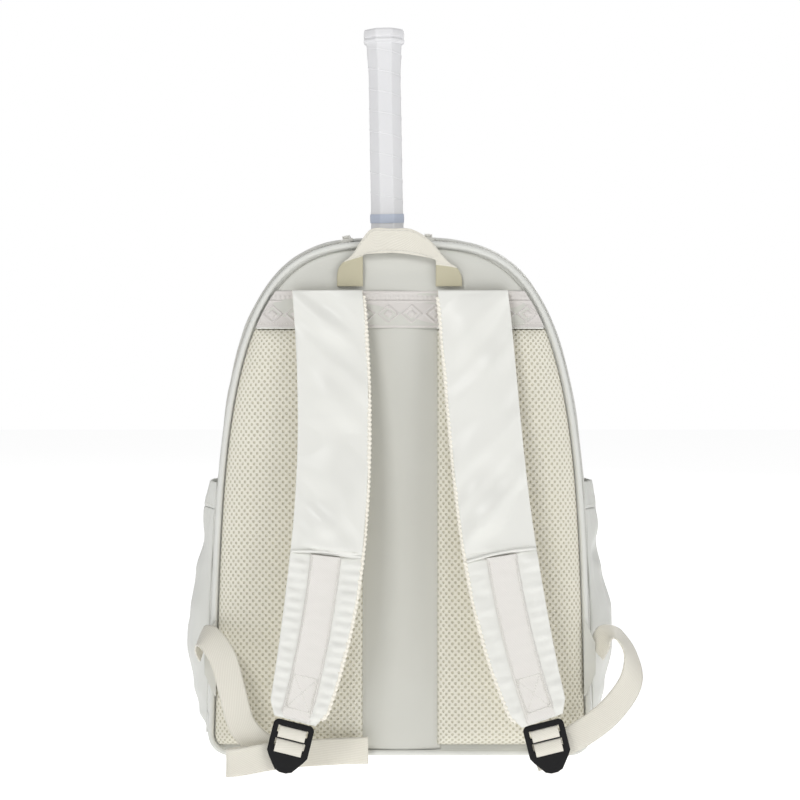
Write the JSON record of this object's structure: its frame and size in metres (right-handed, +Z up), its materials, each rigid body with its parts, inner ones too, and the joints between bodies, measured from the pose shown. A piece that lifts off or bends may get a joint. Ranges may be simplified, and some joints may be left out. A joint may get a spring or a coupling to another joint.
{
  "type": "racket backpack",
  "caption": "Off-white backpack with arched top, mesh back pads, padded shoulder straps on ladder-lock buckles, side pockets, zipped front flap and a rear sleeve holding a racket, handle out.",
  "frame": {"origin": "centre of the base, on the floor", "axes": "+Z up, -Y towards the wearer's back (harness side), +Y towards the front pocket, +X to the right seen from the harness side"},
  "size_m": [0.4373, 0.2553, 0.6979],
  "materials": {
    "shell_fabric": "matt coated woven polyester, grey-white",
    "strap_fabric": "soft coated fabric, bright white",
    "spacer_mesh": "cream three-dimensional spacer mesh",
    "webbing": "woven polyester webbing, light beige",
    "patterned_tape": "raised woven jacquard tape",
    "lining": "plain woven lining",
    "foam": "closed-cell foam",
    "zip_tape": "woven zip tape with nylon coil",
    "board": "stiffener board",
    "buckle_plastic": "moulded acetal, fine matt",
    "zip_metal": "plated zinc",
    "racket_paint": "gloss white lacquer",
    "strings": "monofilament",
    "grip_wrap": "white cushioned wrap, slightly glossy"
  },
  "bodies": {
    "bag": {"back_panel": "shell_fabric", "back_pad_left": "spacer_mesh", "back_pad_right": "spacer_mesh", "centre_column": "shell_fabric", "yoke": "shell_fabric", "yoke_tape": "patterned_tape", "yoke_trim": "patterned_tape", "back_piping": "shell_fabric", "racket_gusset": "shell_fabric", "racket_zip": "zip_tape", "divider": "lining", "main_gusset": "shell_fabric", "main_zip_rear": "zip_tape", "base_panel": "shell_fabric", "base_board": "board", "front_panel": "shell_fabric", "front_piping": "shell_fabric", "front_pocket": "shell_fabric", "pocket_zip": "zip_tape", "laptop_sleeve": "lining", "sleeve_binding": "lining", "side_pocket_left": "shell_fabric", "side_pocket_right": "shell_fabric", "pocket_hem_left": "shell_fabric", "pocket_hem_right": "shell_fabric", "webbing_tab_left": "shell_fabric", "webbing_tab_right": "shell_fabric", "adjuster_webbing_left": "webbing", "adjuster_webbing_right": "webbing"},
    "flap": {"flap_panel": "shell_fabric", "flap_gusset": "shell_fabric", "flap_piping": "shell_fabric", "main_zip_front": "zip_tape"},
    "strap_left": {"strap_cover_left": "strap_fabric", "strap_lower_left": "strap_fabric", "strap_foam_left": "foam", "strap_mesh_left": "spacer_mesh", "strap_webbing_left": "patterned_tape"},
    "strap_right": {"strap_cover_right": "strap_fabric", "strap_lower_right": "strap_fabric", "strap_foam_right": "foam", "strap_mesh_right": "spacer_mesh", "strap_webbing_right": "patterned_tape"},
    "buckle_left": {"ladder_lock_left": "buckle_plastic"},
    "buckle_right": {"ladder_lock_right": "buckle_plastic"},
    "handle": {"grab_handle": "webbing"},
    "racket": {"racket_frame": "racket_paint", "racket_strings": "strings", "racket_grip": "grip_wrap", "racket_butt_cap": "racket_paint"},
    "racket_slider_left": {"racket_slider_left": "zip_metal"},
    "racket_slider_right": {"racket_slider_right": "zip_metal"},
    "main_slider_left": {"main_slider_left": "zip_metal"},
    "main_slider_right": {"main_slider_right": "zip_metal"},
    "pocket_slider": {"pocket_slider": "zip_metal"},
    "racket_puller_left": {"racket_puller_left": "zip_metal"},
    "racket_puller_right": {"racket_puller_right": "zip_metal"},
    "main_puller_left": {"main_puller_left": "zip_metal"},
    "main_puller_right": {"main_puller_right": "zip_metal"},
    "pocket_puller": {"pocket_puller": "zip_metal"}
  },
  "joints": [
    {"name": "flap_fold", "type": "hinge", "parent": "bag", "child": "flap", "pos_m": [0, 0.0813, 0.24015], "axis": [-1, 0, 0], "range_deg": [0, 100]},
    {"name": "strap_left_swing", "type": "hinge", "parent": "bag", "child": "strap_left", "pos_m": [-0.0685, -0.0928, 0.446], "axis": [-1, 0, 0], "range_deg": [0, 35], "deforming": ["adjuster_webbing_left"]},
    {"name": "strap_right_swing", "type": "hinge", "parent": "bag", "child": "strap_right", "pos_m": [0.0685, -0.0928, 0.446], "axis": [-1, 0, 0], "range_deg": [0, 35], "deforming": ["adjuster_webbing_right"]},
    {"name": "buckle_left_tilt", "type": "hinge", "parent": "strap_left", "child": "buckle_left", "pos_m": [-0.0965, -0.14, 0.0475], "axis": [0.9703, 0, -0.2419], "range_deg": [-25, 25]},
    {"name": "buckle_right_tilt", "type": "hinge", "parent": "strap_right", "child": "buckle_right", "pos_m": [0.1305, -0.14, 0.0475], "axis": [0.9703, 0, 0.2419], "range_deg": [-25, 25]},
    {"name": "grab_handle_fold", "type": "hinge", "parent": "bag", "child": "handle", "pos_m": [0, -0.0813, 0.45], "axis": [1, 0, 0], "range_deg": [0, 84], "stiffness_Nm_per_rad": 0.02},
    {"name": "racket_lift", "type": "slide", "parent": "bag", "child": "racket", "axis": [-0.0175, 0, 0.9998], "range_m": [0, 0.07]},
    {"name": "racket_slider_left_run", "type": "slide", "parent": "bag", "child": "racket_slider_left", "axis": [-0.9834, 0, -0.1814], "range_m": [0, 0.02]},
    {"name": "racket_puller_left_swing", "type": "hinge", "parent": "racket_slider_left", "child": "racket_puller_left", "pos_m": [-0.05187, -0.051, 0.49826], "axis": [0.9834, 0, 0.1814], "range_deg": [0, 150]},
    {"name": "racket_slider_right_run", "type": "slide", "parent": "bag", "child": "racket_slider_right", "axis": [0.9986, 0, -0.0533], "range_m": [0, 0.02]},
    {"name": "racket_puller_right_swing", "type": "hinge", "parent": "racket_slider_right", "child": "racket_puller_right", "pos_m": [0.02726, -0.051, 0.49982], "axis": [0.9986, 0, -0.0533], "range_deg": [0, 150]},
    {"name": "main_slider_left_run", "type": "slide", "parent": "bag", "child": "main_slider_left", "axis": [0.0946, 0, 0.9955], "range_m": [0, 0.04]},
    {"name": "main_puller_left_swing", "type": "hinge", "parent": "main_slider_left", "child": "main_puller_left", "pos_m": [-0.18303, 0.046, 0.26045], "axis": [0, 1, 0], "range_deg": [0, 170]},
    {"name": "main_slider_right_run", "type": "slide", "parent": "bag", "child": "main_slider_right", "axis": [-0.0946, 0, 0.9955], "range_m": [0, 0.04]},
    {"name": "main_puller_right_swing", "type": "hinge", "parent": "main_slider_right", "child": "main_puller_right", "pos_m": [0.18303, 0.046, 0.26045], "axis": [0, -1, 0], "range_deg": [0, 170]},
    {"name": "pocket_slider_run", "type": "slide", "parent": "bag", "child": "pocket_slider", "axis": [1, 0, 0], "range_m": [0, 0.22]},
    {"name": "pocket_puller_swing", "type": "hinge", "parent": "pocket_slider", "child": "pocket_puller", "pos_m": [-0.11, 0.1075, 0.2], "axis": [1, 0, 0], "range_deg": [0, 170]}
  ]
}
